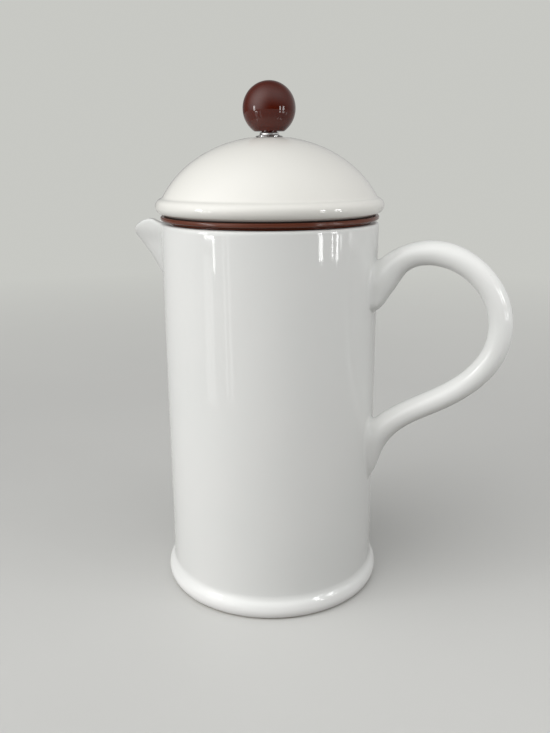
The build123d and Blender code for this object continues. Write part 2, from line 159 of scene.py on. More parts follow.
def skin(rings, closed=False, sharp_angle=32.0):
    """Vertices, faces and corner normals of the surface through rings of points (rows, columns, 3).
    The columns always close. A ring drawn to a point becomes a pole."""
    rows, columns, _ = rings.shape
    pole = np.ptp(rings, axis=1).max(1) < POINT_WIDTH
    index = np.zeros((rows, columns), int)
    vertices = []
    for row in range(rows):
        if pole[row]:
            index[row] = len(vertices)
            vertices.append(rings[row, 0])
        else:
            index[row] = len(vertices) + np.arange(columns)
            vertices.extend(rings[row])
    before, after = tangents(rings, closed, sharp_angle)
    around = np.roll(rings, -1, axis=1) - np.roll(rings, 1, axis=1)
    for row in np.flatnonzero(pole):
        around[row] = around[row + 1 if row == 0 else row - 1]
    normals = [unit_vectors(np.cross(around, side)) for side in (after, before)]
    faces = []
    corner_normals = []
    last = rows if closed else rows - 1
    for row in range(last):
        above = (row + 1) % rows
        for column in range(columns):
            beside = (column + 1) % columns
            corners = [(row, column, 0), (row, beside, 0), (above, beside, 1), (above, column, 1)]
            if pole[row]:
                corners = [corners[0], corners[2], corners[3]]
            elif pole[above]:
                corners = corners[:3]
            faces.append([index[r, c] for r, c, _ in corners])
            corner_normals.extend(normals[side][r, c] for r, c, side in corners)
    return np.array(vertices), faces, np.array(corner_normals)


def new_piece(name, vertices, faces, corner_normals=None):
    """A mesh object in the row frame."""
    mesh = bpy.data.meshes.new(name)
    mesh.from_pydata([tuple(v) for v in vertices], [], faces)
    mesh.validate()
    mesh.shade_smooth()
    if corner_normals is not None:
        mesh.normals_split_custom_set([tuple(n) for n in corner_normals])
    piece = bpy.data.objects.new(name, mesh)
    bpy.context.scene.collection.objects.link(piece)
    return piece


def turned_rings(points, segments):
    """Rings about the pot's axis through an outline of (radius, height) points."""
    angles = 2 * math.pi * np.arange(segments) / segments
    rings = np.zeros((len(points), segments, 3))
    rings[:, :, 0] = points[:, :1] * np.cos(angles)
    rings[:, :, 1] = points[:, :1] * np.sin(angles)
    rings[:, :, 2] = points[:, 1:]
    return rings


def turned(name, corners, segments=192, closed=True, steps=6):
    """A turned piece from the corners of its outline, which runs anticlockwise in (radius, height)."""
    points = outline([*corners, corners[0]] if closed else corners, steps)
    if closed:
        points = points[:-1]
    return new_piece(name, *skin(turned_rings(points, segments), closed))


def coat(piece, material):
    """Gives a piece its only material."""
    piece.data.materials.clear()
    piece.data.materials.append(material)


def dress(piece, body, slot, material, *nodes):
    """Gives a piece its material and its body, and hides the nodes that it stands for. Its slot is not
    used.
    """
    coat(piece, material)
    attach(piece, body)
    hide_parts(*nodes)


def spline(places, values):
    """A smooth curve through values at places: a function of the place, with relaxed ends."""
    places = np.array(places, float)
    values = np.array(values, float)
    count = len(places)
    gaps = np.diff(places)
    slopes = (np.diff(values, axis=0).T / gaps).T
    system = np.eye(count)
    right = np.zeros_like(values)
    for i in range(1, count - 1):
        system[i, i - 1:i + 2] = (gaps[i - 1], 2 * (gaps[i - 1] + gaps[i]), gaps[i])
        right[i] = 6 * (slopes[i] - slopes[i - 1])
    bends = np.linalg.solve(system, right)

    def read(at):
        at = np.clip(np.asarray(at, float), places[0], places[-1])
        i = np.clip(np.searchsorted(places, at) - 1, 0, count - 2)
        gap = gaps[i]
        low = (places[i + 1] - at) / gap
        high = 1 - low
        scale = gap**2 / 6
        if values.ndim > 1:
            low, high, scale = low[..., None], high[..., None], scale[..., None]
        bent = ((low**3 - low) * bends[i] + (high**3 - high) * bends[i + 1]) * scale
        return low * values[i] + high * values[i + 1] + bent

    return read


def run_along(points):
    """Length of the way along a path to each of its points."""
    return np.concatenate([[0], np.cumsum(np.linalg.norm(np.diff(points, axis=0), axis=1))])


def places_on(path, run, at):
    """Points of a flat path at some lengths along it."""
    return np.column_stack([np.interp(at, run, path[:, k]) for k in (0, 1)])


# ================================ pot ================================

BEAK_SECTIONS = [  # height, reach beyond the body, half the angle it spans in degrees
    (0.140, 0.0, 16.0),
    (0.147, 0.0020, 18.0),
    (0.154, 0.0058, 22.0),
    (0.161, 0.0103, 26.0),
    (0.168, 0.0151, 30.0),
    (0.174, 0.0204, 33.0),
    (0.178, 0.0234, 37.0),
    (0.186, 0.0268, 40.0),
]
SPOUT_ROOT_Z = BEAK_SECTIONS[0][0]
BEAK_SHARPNESS = 4
CHANNEL_NARROWER = 4.0
CHANNEL_SHALLOWER = 0.0002
NOSE_LONG = 0.0200
NOSE_TALL = 0.0160
NOSE_TIP = 0.0745
LIP_RISE = 0.0018
LIP_RISE_START = 0.0526
LIP_RISE_RUN = 0.0050
LIP_SOFTNESS = 0.0027
LIP_STEP = 0.00015
WALL_SAMPLES = 170
TOP_SAMPLES = 60

COLUMN_BANDS = [  # degrees from the spout: a band's start, its end and the step of its columns
    (0, 42, 0.6),
    (42, 156, 2.0),
    (156, 180, 0.8),
]
LIP_ZONE = 0.0085
LIP_BUNCHING = 0.3
LIP_ROWS = 27
BORE_ROWS = 22
OUTER_ROWS = 36

POT_FLOOR_Z = 0.009
POT_FLOOR_ROUNDING = 0.009
POT_FLOOR_SHARES = (0.3, 0.6)
BORE_HEIGHTS = (0.022, 0.034, 0.06, 0.09, 0.115, 0.13, 0.136)
WALL_TOP_Z = SPOUT_ROOT_Z - 0.001
WALL_LOW_Z = 0.048
WALL_ROWS = 91
LOW_WALL_HEIGHTS = (0.044, 0.038, 0.03, 0.023, 0.018, 0.0155, 0.0130)
FOOT_VALLEY = (0.0570, 0.01153)
FOOT_VALLEY_R = 0.0050
FOOT_BEAD = (0.0493, 0.0040)
FOOT_BEAD_R = 0.00577
FOOT_BEAD_START = 44.4
FOOT_BEAD_END = -32
FOOT_RING_R = 0.0532
FOOT_RING_MIDDLE_R = 0.0500
FOOT_RING_INNER_R = 0.0455
FOOT_UNDER_Z = 0.0025
FOOT_UNDER_RADII = (0.0400, 0.0200, 0)

HANDLE_SECTIONS = [  # distance from the axis, height, half the thickness, half the width
    (0.0504, 0.1416, 0.0004, 0.0004),
    (0.0516, 0.1446, 0.0032, 0.0044),
    (0.0534, 0.1498, 0.0053, 0.0062),
    (0.0562, 0.1572, 0.0069, 0.0069),
    (0.0649, 0.1671, 0.0059, 0.0063),
    (0.0808, 0.1707, 0.0057, 0.0060),
    (0.0974, 0.1639, 0.0055, 0.0059),
    (0.1086, 0.1484, 0.0054, 0.0059),
    (0.1090, 0.1294, 0.0054, 0.0059),
    (0.0975, 0.1122, 0.0054, 0.0059),
    (0.0804, 0.1004, 0.0055, 0.0059),
    (0.0640, 0.0901, 0.0058, 0.0062),
    (0.0556, 0.0804, 0.0060, 0.0064),
    (0.0531, 0.0705, 0.0044, 0.0049),
    (0.0519, 0.0622, 0.0026, 0.0028),
    (0.0506, 0.0564, 0.0004, 0.0004),
]
HANDLE_INSET = 0.00005
HANDLE_LEAST = 0.0003
HANDLE_STEPS = 260
HANDLE_COLUMNS = 56

# The fillets at the handle's roots, and the seam of the union that they cover.
ROOT_BLEND = 0.0042
ROOT_THICK = 0.0060
ROOT_LEAST = 0.1
ROOT_LOW_Z = 0.045
ROOT_HIGH_Z = 0.18
WALL_DEPTH = 0.0006
SEAM_SIDE_X = 0.042
SEAM_REACH = 0.012
SEAM_HALF_WIDTH = 0.016
SEAM_MERGE = 0.00022
BLEND_SIDE_X = 0.04
BLEND_REACH = 0.02
BLEND_TURNS = 16
RELAX_TURNS = (2, 4, 6, 8, 10, 12)
NUDGE = 0.00005
LEAST_STEEPNESS = 1e-6
LEAST_SLOPE_SQUARED = 0.2


def wall_radius(angle, heights, bore):
    """Distance of the pot's outer or bore wall from the axis, at degrees from the spout."""
    places = [section[0] for section in BEAK_SECTIONS]
    reach = spline(places, [section[1] for section in BEAK_SECTIONS])(heights)
    half = spline(places, [section[2] for section in BEAK_SECTIONS])(heights)
    base = BODY_R
    if bore:
        base = BORE_R
        reach = reach - CHANNEL_SHALLOWER
        half = half - CHANNEL_NARROWER
    turn = np.minimum(abs(angle) / half, 1)
    swell = np.cos(np.radians(90 * turn)) ** BEAK_SHARPNESS
    return base + np.maximum(reach, 0) * swell


def lip_height(radii):
    """Height of the lip at a distance from the axis: it rises along the beak, then rounds off."""
    past = np.clip((radii - NOSE_TIP + NOSE_LONG) / NOSE_LONG, 0, 1)
    rise = LIP_RISE * np.clip((radii - LIP_RISE_START) / LIP_RISE_RUN, 0, 1)
    return RIM_Z + rise - NOSE_TALL * (1 - np.sqrt(1 - past**2))


def lip_path(angle):
    """One upright slice of the lip: up the bore, over the rim and down the outside, softly rounded."""
    heights = np.linspace(SPOUT_ROOT_Z, RIM_Z + LIP_RISE, WALL_SAMPLES)
    walls = []
    for bore in (True, False):
        radii = wall_radius(angle, heights, bore)
        inside = (heights <= lip_height(radii)) & (radii <= NOSE_TIP)
        top = np.argmin(inside) if not inside.all() else len(heights)
        walls.append(np.column_stack([radii[:top], heights[:top]]))
    inner, outer = walls
    across = np.linspace(inner[-1, 0], outer[-1, 0], TOP_SAMPLES)[1:-1]
    top = np.column_stack([across, lip_height(across)])
    path = np.concatenate([inner, top, outer[::-1]])
    run = run_along(path)
    middle = np.interp(len(inner) + len(top) / 2, np.arange(len(path)), run)
    even = np.arange(0, run[-1], LIP_STEP)
    even_path = places_on(path, run, even)
    width = int(LIP_SOFTNESS / LIP_STEP)
    soft = np.concatenate([[even_path[0]] * width, even_path, [even_path[-1]] * width])
    for _ in range(2):
        sums = np.cumsum(np.concatenate([[[0, 0]], soft]), axis=0)
        soft = (sums[width:] - sums[:-width]) / width
    offset = (len(soft) - len(even_path)) // 2
    soft = soft[offset:offset + len(even_path)]
    return even - middle, soft


def pot_columns():
    """Degrees from the spout of the pot's upright columns: close at the beak and at the handle."""
    half = np.concatenate([np.arange(*band) for band in COLUMN_BANDS])
    return np.concatenate([-half[:0:-1], half, [180.0]])


def upper_rows(angles):
    """Rows of (radius, height) points at each column, up the bore, over the lip and down the outside."""
    spread = np.concatenate([np.linspace(-1, 0, LIP_ROWS)[:-1], np.linspace(0, 1, LIP_ROWS)])
    lip_rows = (spread**3 * LIP_BUNCHING + spread * (1 - LIP_BUNCHING)) * LIP_ZONE
    slices = []
    for angle in angles:
        run, path = lip_path(angle)
        at = np.concatenate([
            np.linspace(run[0], -LIP_ZONE, BORE_ROWS)[:-1],
            lip_rows,
            np.linspace(LIP_ZONE, run[-1], OUTER_ROWS)[1:],
        ])
        slices.append(places_on(path, run, at))
    return np.array(slices).transpose(1, 0, 2)


def inner_outline():
    """From the middle of the pot's floor up the bore to the spout's root."""
    return outline([
        (0, POT_FLOOR_Z, 0),
        *[(BORE_R * share, POT_FLOOR_Z, 0) for share in POT_FLOOR_SHARES],
        (BORE_R, POT_FLOOR_Z, POT_FLOOR_ROUNDING),
        *[(BORE_R, height, 0) for height in BORE_HEIGHTS],
    ], 10)


def outer_outline():
    """From the spout's root down the body's wall, through the valley, round the bead and under the foot."""
    heights = (*np.linspace(WALL_TOP_Z, WALL_LOW_Z, WALL_ROWS), *LOW_WALL_HEIGHTS)
    return outline([
        *[(BODY_R, height, 0) for height in heights],
        *arc(FOOT_VALLEY, FOOT_VALLEY_R, 180, 180 + FOOT_BEAD_START, 9),
        *arc(FOOT_BEAD, FOOT_BEAD_R, FOOT_BEAD_START, FOOT_BEAD_END, 12)[1:],
        (FOOT_RING_R, 0.0, 0.0005),
        (FOOT_RING_MIDDLE_R, 0.0, 0),
        (FOOT_RING_INNER_R, 0.0, 0.0006),
        (FOOT_RING_INNER_R, FOOT_UNDER_Z, 0.0010),
        *[(radius, FOOT_UNDER_Z, 0) for radius in FOOT_UNDER_RADII],
    ], 5)


def pot_rings():
    """The pot without its handle, as rings from under the foot, over the lip, to the floor's middle."""
    angles = pot_columns()
    bearings = np.radians(180 + angles)
    inside, outside = (
        np.repeat(points[:, None], len(angles), axis=1) for points in (inner_outline(), outer_outline()))
    rows = np.concatenate([inside, upper_rows(angles), outside])[::-1]
    radii, heights = rows[:, :, 0], rows[:, :, 1]
    return np.stack([radii * np.cos(bearings), radii * np.sin(bearings), heights], axis=2)


def handle_line():
    """The handle's centreline in the XZ plane, its half thickness and width, and its way ahead."""
    points = np.array([section[:2] for section in HANDLE_SECTIONS])
    sizes = np.array([section[2:] for section in HANDLE_SECTIONS])
    run = run_along(points)
    even = np.linspace(0, run[-1], HANDLE_STEPS)
    places = spline(run, points)(even)
    size = spline(run, sizes)(even)
    ahead = unit_vectors(np.gradient(places, axis=0))
    return places, np.maximum(size - HANDLE_INSET, HANDLE_LEAST), ahead


def handle_rings(line):
    """The handle as oval rings across its centreline, drawn to a point at both ends."""
    angles = 2 * math.pi * np.arange(HANDLE_COLUMNS) / HANDLE_COLUMNS
    rings = []
    for (radius, height), (painted_foot_light, wide), (ahead_x, ahead_z) in zip(*line):
        out = painted_foot_light * np.cos(angles)
        side = wide * np.sin(angles)
        rings.append(np.stack([radius - out * ahead_z, side, height + out * ahead_x], axis=1))
    first, last = (np.tile(ring.mean(0), (HANDLE_COLUMNS, 1)) for ring in (rings[0], rings[-1]))
    return np.array([first, *rings, last])


def handle_distance(points, line):
    """Rough distance of points from the handle's surface, and the half thickness of the handle there."""
    places, sizes, ahead = line
    flat = points[:, [0, 2]]
    nearest = np.array([np.argmin(((places - p) ** 2).sum(1)) for p in flat])
    speed = np.linalg.norm(np.gradient(places, axis=0), axis=1)
    past = ((flat - places[nearest]) * ahead[nearest]).sum(1)
    index = np.arange(len(places))
    at = np.clip(nearest + past / speed[nearest], 0, index[-1])
    here_x, here_z, ahead_x, ahead_z, painted_foot_light, wide = (
        np.interp(at, index, column) for column in np.column_stack([places, ahead, sizes]).T)
    off_x = flat[:, 0] - here_x
    off_z = flat[:, 1] - here_z
    across = off_z * ahead_x - off_x * ahead_z
    past = off_x * ahead_x + off_z * ahead_z
    side = points[:, 1]
    level = np.sqrt((across / painted_foot_light) ** 2 + (side / wide) ** 2)
    steep = np.sqrt(across**2 / painted_foot_light**4 + side**2 / wide**4)
    distance = (level - 1) * level / np.maximum(steep, LEAST_STEEPNESS)
    ends = (at == 0) | (at == index[-1])
    return np.where(ends, np.hypot(distance, past), distance), painted_foot_light


def joined_distance(points, line):
    """Distance from the body and handle together, the angle between them filled with glaze."""
    body = np.hypot(points[:, 0], points[:, 1]) - BODY_R
    handle, painted_foot_light = handle_distance(points, line)
    soft = ROOT_BLEND * np.clip(painted_foot_light / ROOT_THICK, ROOT_LEAST, 1)
    share = np.clip(0.5 + 0.5 * (handle - body) / soft, 0, 1)
    return handle * (1 - share) + body * share - soft * share * (1 - share)


def joined_slope(points, line):
    """Slope of the joined distance at points, from a small nudge either way along each axis."""
    slopes = []
    for axis in np.eye(3):
        rise = joined_distance(points + NUDGE * axis, line) - joined_distance(points - NUDGE * axis, line)
        slopes.append(rise / (2 * NUDGE))
    return np.stack(slopes, axis=1)


def relaxed(points, edges, picked):
    """Places of the picked points, half way to the middle of their neighbours."""
    sums = np.zeros_like(points)
    counts = np.zeros((len(points), 1))
    for one, other in (edges.T, edges.T[::-1]):
        np.add.at(sums, one, points[other])
        np.add.at(counts, one, 1)
    return (points[picked] + sums[picked] / counts[picked]) / 2


def near_roots(place):
    """Whether a vertex's place is on the body's wall or the handle's first part, beside the roots."""
    out = math.hypot(place.x, place.y) - BODY_R
    beside = place.x > SEAM_SIDE_X and abs(place.y) < SEAM_HALF_WIDTH
    return beside and -WALL_DEPTH < out < SEAM_REACH and ROOT_LOW_Z < place.z < ROOT_HIGH_Z


def clean_seam(mesh):
    """Merges the union's almost coincident vertices and splits its many-sided faces."""
    made = bmesh.new()
    made.from_mesh(mesh)
    bmesh.ops.remove_doubles(made, verts=[v for v in made.verts if near_roots(v.co)], dist=SEAM_MERGE)
    bmesh.ops.triangulate(made, faces=[f for f in made.faces if len(f.verts) > 4])
    made.to_mesh(mesh)
    made.free()


def blend_roots(mesh, line):
    """Moves the vertices where the handle meets the body onto a soft fillet, and sets their normals."""
    edges = np.empty(len(mesh.edges) * 2, int)
    mesh.edges.foreach_get("vertices", edges)
    edges = edges.reshape(-1, 2)
    points = np.empty(len(mesh.vertices) * 3)
    mesh.vertices.foreach_get("co", points)
    points = points.reshape(-1, 3)
    body = np.hypot(points[:, 0], points[:, 1]) - BODY_R
    near = (points[:, 0] > BLEND_SIDE_X) & (body > -WALL_DEPTH) & (body < BLEND_REACH)
    near &= (points[:, 2] > ROOT_LOW_Z) & (points[:, 2] < ROOT_HIGH_Z)
    picked = np.flatnonzero(near)
    picked = picked[handle_distance(points[picked], line)[0] < ROOT_BLEND]
    place = points[picked]
    for turn in range(BLEND_TURNS):
        if turn in RELAX_TURNS:
            points[picked] = place
            place = relaxed(points, edges, picked)
        value = joined_distance(place, line)
        slope = joined_slope(place, line)
        steps = value / np.maximum((slope**2).sum(1), LEAST_SLOPE_SQUARED)
        place = place - slope * steps[:, None]
    points[picked] = place
    mesh.vertices.foreach_set("co", points.ravel())
    mesh.update()
    normals = np.zeros_like(points)
    normals[picked] = unit_vectors(slope)
    mesh.normals_split_custom_set_from_vertices([tuple(n) for n in normals])


def make_pot():
    """The glazed pot: body, spout and handle as one skin, with fillets at the handle's roots."""
    vertices, faces, _ = skin(pot_rings())
    body = new_piece("pot_glazed", vertices, faces)
    line = handle_line()
    vertices, faces, _ = skin(handle_rings(line)[::-1])
    handle = new_piece("handle_shape", vertices, faces)
    union = body.modifiers.new("union", "BOOLEAN")
    union.operation = "UNION"
    union.solver = "EXACT"
    union.object = handle
    bpy.context.view_layer.update()
    joined = bpy.data.meshes.new_from_object(body.evaluated_get(bpy.context.evaluated_depsgraph_get()))
    body.modifiers.clear()
    body.data = joined
    bpy.data.objects.remove(handle)
    clean_seam(joined)
    joined.shade_smooth()
    blend_roots(joined, line)
    return body


# ================================ materials ================================

NOISE_RANGE = (0.3, 0.7)

SPECK_RARITY = 0.965
SPECK_EDGE = (0.012, 0.045)
SPECK_STRENGTH = 0.55
SPECK_TONE = (0.30, 0.25, 0.20)
# Painted brightness: the foot bead below these heights is painted whiter for the light that falls on it.
FOOT_PAINTED_LIGHT_HEIGHTS = (0.0045, 0.0080)
FOOT_PAINTED_LIGHT_TONE = (0.90, 0.90, 0.89)
DRY_HEIGHTS = (0.0005, 0.0008)
DRY_RAGGEDNESS = 0.0004
DRY_ROUGHNESS = 0.6
DRY_TONE = (0.62, 0.56, 0.47)


class Finish:
    """A node material, built a node at a time."""

    def __init__(self, name, **constants):
        self.material = bpy.data.materials.new(name)
        self.material.use_nodes = True
        self.tree = self.material.node_tree
        self.shader = self.tree.nodes["Principled BSDF"]
        for socket, value in constants.items():
            self.shader.inputs[socket.replace("_", " ")].default_value = value
        self.place = self.node("ShaderNodeTexCoord").outputs["Object"]

    def node(self, kind, *links, **settings):
        made = self.tree.nodes.new(kind)
        for name, value in settings.items():
            if hasattr(made, name):
                setattr(made, name, value)
            else:
                made.inputs[name.replace("_", " ")].default_value = value
        for socket, source in links:
            self.tree.links.new(source, made.inputs[socket])
        return made

    def noise(self, scale, detail=2.0, stretch=None, roughness=0.5):
        """Noise with a pattern about 1/scale metres across, stretched along the axes if asked."""
        place = self.place
        if stretch:
            place = self.node("ShaderNodeMapping", ("Vector", place), Scale=stretch).outputs[0]
        texture = self.node("ShaderNodeTexNoise", ("Vector", place), Scale=scale, Detail=detail)
        texture.inputs["Roughness"].default_value = roughness
        return texture.outputs["Fac"]

    def ramp(self, value, low, high, out_low=0.0, out_high=1.0):
        made = self.node("ShaderNodeMapRange", ("Value", value))
        sockets = ("From Min", "From Max", "To Min", "To Max")
        for socket, number in zip(sockets, (low, high, out_low, out_high)):
            made.inputs[socket].default_value = number
        return made.outputs["Result"]

    def cloud(self, scale, detail, out_low=0.0, out_high=1.0):
        """Noise whose usual range is spread from out_low to out_high."""
        return self.ramp(self.noise(scale, detail), *NOISE_RANGE, out_low, out_high)

    def math(self, operation, first, second):
        made = self.node("ShaderNodeMath", operation=operation)
        for socket, value in zip(made.inputs, (first, second)):
            if isinstance(value, (int, float)):
                socket.default_value = value
            else:
                self.tree.links.new(value, socket)
        return made.outputs[0]

    def mix(self, factor, first, second):
        made = self.node("ShaderNodeMix", data_type="RGBA")
        self.tree.links.new(factor, made.inputs["Factor"])
        for socket, colour in (("A_Color", first), ("B_Color", second)):
            target = next(s for s in made.inputs if s.identifier == socket)
            if isinstance(colour, tuple):
                target.default_value = (*colour, 1.0)
            else:
                self.tree.links.new(colour, target)
        return next(s for s in made.outputs if s.identifier == "Result_Color")

    def bump(self, height, distance, strength=1.0, under=None):
        made = self.node("ShaderNodeBump", ("Height", height), Strength=strength, Distance=distance)
        if under is not None:
            self.tree.links.new(under, made.inputs["Normal"])
        return made.outputs["Normal"]

    def set(self, **links):
        for socket, source in links.items():
            self.tree.links.new(source, self.shader.inputs[socket.replace("_", " ")])
        return self.material


def glaze(name, colour, pooled, dry_foot_and_painted_light):
    """Thick clear glaze over white clay: a slow ripple, fine orange peel and specks. On the foot bead the
    tone is painted whiter, a painted brightness for the light on the bead, and the ring that stands on the
    table is dry clay."""
    finish = Finish(name, IOR=1.52, Coat_Weight=0.0)
    tone = finish.mix(finish.ramp(finish.noise(18.0, 3.0), 0.35, 0.65), colour, pooled)
    cells = finish.node("ShaderNodeTexVoronoi", ("Vector", finish.place), Scale=95.0)
    draw = finish.node("ShaderNodeSeparateColor", ("Color", cells.outputs["Color"])).outputs["Red"]
    rare = finish.math("GREATER_THAN", draw, SPECK_RARITY)
    spot = finish.ramp(cells.outputs["Distance"], *SPECK_EDGE, 1.0, 0.0)
    speck = finish.math("MULTIPLY", finish.math("MULTIPLY", spot, rare), SPECK_STRENGTH)
    tone = finish.mix(speck, tone, SPECK_TONE)
    sheen = finish.cloud(60.0, 2.0, 0.045, 0.075)
    if dry_foot_and_painted_light:
        height = finish.node("ShaderNodeSeparateXYZ", ("Vector", finish.place)).outputs["Z"]
        # Painted brightness: the foot bead's tone is painted whiter for the light on it.
        painted_foot_light = finish.ramp(height, *FOOT_PAINTED_LIGHT_HEIGHTS, 1.0, 0.0)
        tone = finish.mix(painted_foot_light, tone, FOOT_PAINTED_LIGHT_TONE)
        wander = finish.ramp(finish.noise(300.0), 0, 1, -DRY_RAGGEDNESS, DRY_RAGGEDNESS)
        dry = finish.ramp(finish.math("ADD", height, wander), *DRY_HEIGHTS, 1.0, 0.0)
        tone = finish.mix(dry, tone, DRY_TONE)
        sheen = finish.math("ADD", sheen, finish.math("MULTIPLY", dry, DRY_ROUGHNESS))
    ripple = finish.bump(finish.noise(22.0, 1.0, (1, 1, 0.45)), 0.00065)
    peel = finish.bump(finish.noise(420.0, 1.0), 0.000008, under=ripple)
    return finish.set(Base_Color=tone, Roughness=sheen, Normal=peel)


def brown_gloss(name):
    """Polished dark red-brown moulding with faint clouding and buffing lines."""
    finish = Finish(name, IOR=1.46, Coat_Weight=0.0)
    tone = finish.mix(finish.cloud(140.0, 4.0), (0.066, 0.0060, 0.0012), (0.084, 0.0095, 0.0026))
    rough = finish.cloud(260.0, 3.0, 0.04, 0.07)
    fine = finish.bump(finish.noise(90.0, 2.0, (1, 1, 6)), 0.00002)
    return finish.set(Base_Color=tone, Roughness=rough, Normal=fine)


def brown_moulded(name):
    """Moulded brown plastic: satin gloss, flow clouding and a fine even grain."""
    finish = Finish(name, IOR=1.42, Coat_Weight=0.0)
    tone = finish.mix(finish.cloud(70.0, 4.0), (0.110, 0.024, 0.009), (0.145, 0.035, 0.015))
    rough = finish.cloud(500.0, 3.0, 0.12, 0.20)
    grain = finish.bump(finish.noise(2600.0, 2.0), 0.00002, 0.6)
    return finish.set(Base_Color=tone, Roughness=rough, Normal=grain)


def soft_ring(name):
    """Dark silicone with a dusty bloom."""
    finish = Finish(name, IOR=1.41)
    bloom = finish.ramp(finish.noise(400.0, 5.0), 0.35, 0.75)
    tone = finish.mix(bloom, (0.020, 0.014, 0.012), (0.045, 0.035, 0.030))
    rough = finish.cloud(700.0, 3.0, 0.45, 0.65)
    grain = finish.bump(finish.noise(1800.0, 3.0), 0.00002, 0.7)
    return finish.set(Base_Color=tone, Roughness=rough, Normal=grain)


def metal(name, dull, bright, roughness, stretch, scale, depth):
    """Metal with the lines of its turning or drawing, and a slight unevenness of tone."""
    finish = Finish(name, Metallic=1.0)
    lines = finish.noise(scale, 3.0, stretch, 0.6)
    tone = finish.mix(finish.ramp(lines, *NOISE_RANGE), dull, bright)
    rough = finish.cloud(180.0, 4.0, *roughness)
    cut = finish.bump(lines, depth)
    return finish.set(Base_Color=tone, Roughness=rough, Normal=cut)


def nylon(name):
    """Natural nylon: slightly waxy and see-through at the edges."""
    finish = Finish(name, IOR=1.53, Subsurface_Weight=0.25, Subsurface_Scale=0.0015)
    tone = finish.mix(finish.cloud(200.0, 4.0), (0.68, 0.65, 0.56), (0.76, 0.74, 0.67))
    rough = finish.cloud(500.0, 2.0, 0.32, 0.42)
    fine = finish.bump(finish.noise(1500.0, 2.0), 0.00001)
    return finish.set(Base_Color=tone, Roughness=rough, Normal=fine)


POT_GLAZE = glaze("glaze_pot", (0.82, 0.825, 0.81), (0.80, 0.81, 0.795), True)
# The lid's glaze has its own warmer tint, and is painted lighter than the pot's: a painted brightness for
# the light on the dome.
LID_GLAZE_PAINTED_LIGHTER = glaze("glaze_lid_painted_lighter", (0.86, 0.85, 0.81), (0.84, 0.83, 0.785), False)
KNOB = brown_gloss("knob_gloss")
PLASTIC = brown_moulded("brown_moulded")
SILICONE = soft_ring("dark_silicone")
CHROME = metal(
    "chrome_turned", (0.72, 0.72, 0.72), (0.85, 0.85, 0.84),
    roughness=(0.05, 0.12), stretch=(1, 1, 30), scale=130.0, depth=0.00001)
STEEL_TURNED = metal(
    "steel_turned", (0.50, 0.50, 0.49), (0.66, 0.66, 0.65),
    roughness=(0.16, 0.28), stretch=(1, 1, 20), scale=220.0, depth=0.00002)
STEEL_DRAWN = metal(
    "steel_drawn", (0.52, 0.52, 0.51), (0.66, 0.66, 0.65),
    roughness=(0.14, 0.24), stretch=(12, 12, 0.4), scale=260.0, depth=0.00001)
BRASS = metal(
    "brass_turned", (0.62, 0.42, 0.16), (0.78, 0.58, 0.25),
    roughness=(0.14, 0.26), stretch=(1, 1, 25), scale=200.0, depth=0.00002)
NYLON = nylon("nylon_natural")


# ================================ lid ================================

DOME_HALF_WIDTH = 0.0560
DOME_HALF_HEIGHT = 0.0471
DOME_CENTRE_Z = 0.17495
DOME_WALL = 0.0045
DOME_UNDER_Z = 0.2162
DOME_HOLE_R = 0.0053
DOME_FLAT_R = 0.0075
DOME_SHOULDER = 0.0060
DOME_RIM_R = 0.0505
DOME_RIM_INNER_R = 0.0446
DOME_BEAD = (0.0506, 0.1906)
DOME_BEAD_R = 0.0037
DOME_BEAD_END = -70
DOME_VALLEY = 0.0025
OVAL_SAMPLES = 4001

TOWER_BORE_R = 0.0051
TOWER_SOCKET_Z = 0.2136
TOWER_SOCKET_R = 0.0090
TOWER_ROOT_R = 0.0131
TOWER_TOP_R = 0.0114
TOWER_FOOT_R = 0.0155
PLATE_UNDER_Z = 0.1838
SKIRT_INNER_R = 0.0434
SKIRT_R = 0.0464
SKIRT_END_Z = 0.1708
SEAL_GROOVE_R = 0.0451
SEAL_GROOVE_HEIGHTS = (0.1746, 0.1774)
FLANGE_R = 0.0520
FLANGE_UNDER_Z = 0.1841
FLANGE_STEP_TOP_R = 0.0480
FLANGE_STEP_LOW_R = 0.0484
RIDGE_R = 0.0442
RIDGE_INNER_R = 0.0422
RIDGE_TOP_Z = 0.1890

CUSHION_INNER_R = 0.0450
CUSHION_R = 0.0501
CUSHION_MIDDLE_R = 0.0503

GUIDE_BORE_R = 0.00335
SHANK_R = 0.0050
COLLAR_R = 0.0064
COLLAR_EDGE = 0.0003
COLLAR_BEVEL = 0.0008
COLLAR_NECK_R = 0.0046
COLLAR_TOP_R = 0.0044
COLLAR_MOUTH_R = 0.00375
COLLAR_MOUTH_DEPTH = 0.0007
COLLAR_WASHER_T = 0.0004

BALL_R = 0.01230
BALL_FLAT_Z = 0.2241
NECK_R = 0.00365
KNOB_HOLE_DEPTH = 0.0136


def dome_oval(turns, inward=0.0, grown=0.0):
    """Points of the dome's oval section, as a smaller oval or grown along its normal."""
    wide, tall = DOME_HALF_WIDTH - inward, DOME_HALF_HEIGHT - inward
    normal = np.column_stack([np.cos(turns) / wide, np.sin(turns) / tall])
    normal = unit_vectors(normal)
    oval = np.column_stack([wide * np.cos(turns), DOME_CENTRE_Z + tall * np.sin(turns)])
    return oval + grown * normal


